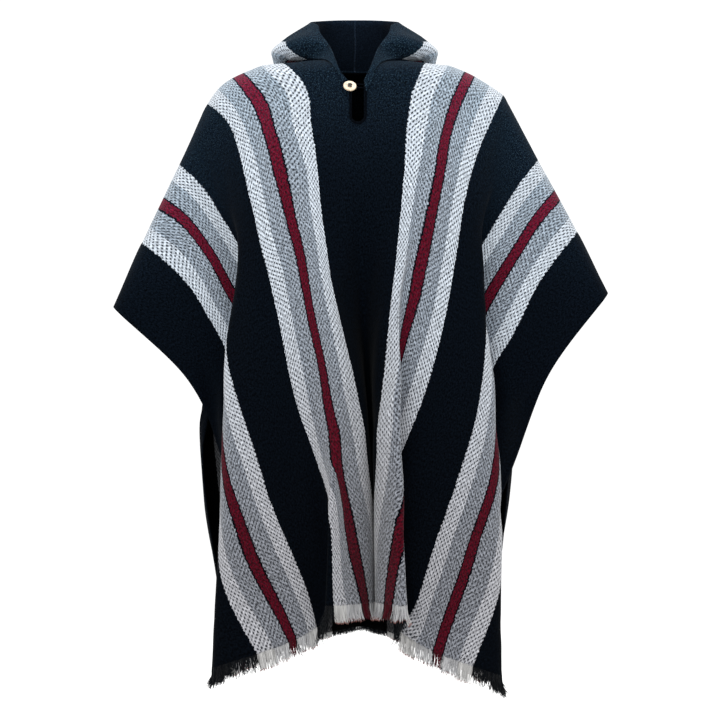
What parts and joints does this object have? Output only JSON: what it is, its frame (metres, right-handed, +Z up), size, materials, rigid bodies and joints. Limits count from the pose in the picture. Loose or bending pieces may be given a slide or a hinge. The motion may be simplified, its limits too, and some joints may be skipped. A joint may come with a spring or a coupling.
{
  "type": "hooded poncho",
  "caption": "Striped wool poncho worn and filled out, with fringed hems, a short buttoned slit at the neck and a hood lying on the back.",
  "frame": {"origin": "middle of the neck hole at the level of the shoulder line", "axes": "+X to the wearer's left, seen on the right from the front, +Y from the front to the back, +Z up; the front faces -Y"},
  "size_m": [0.8009, 0.3879, 1.1248],
  "materials": {
    "front_cloth": "brushed wool weave in navy with light, grey and red stripes",
    "back_cloth": "brushed wool weave in navy with light, grey and red stripes",
    "hood_cloth": "brushed wool weave in navy with light, grey and red stripes",
    "binding": "narrow navy wool edging",
    "button": "satin, horn-like",
    "fringe": "loose warp yarns in the colours of the stripes"
  },
  "bodies": {
    "root": {"front_panel": "front_cloth", "back_panel": "back_cloth", "hood_left": "hood_cloth", "hood_right": "hood_cloth", "slit_binding": "binding", "button": "button", "front_fringe": "fringe", "back_fringe": "fringe"}
  },
  "joints": []
}
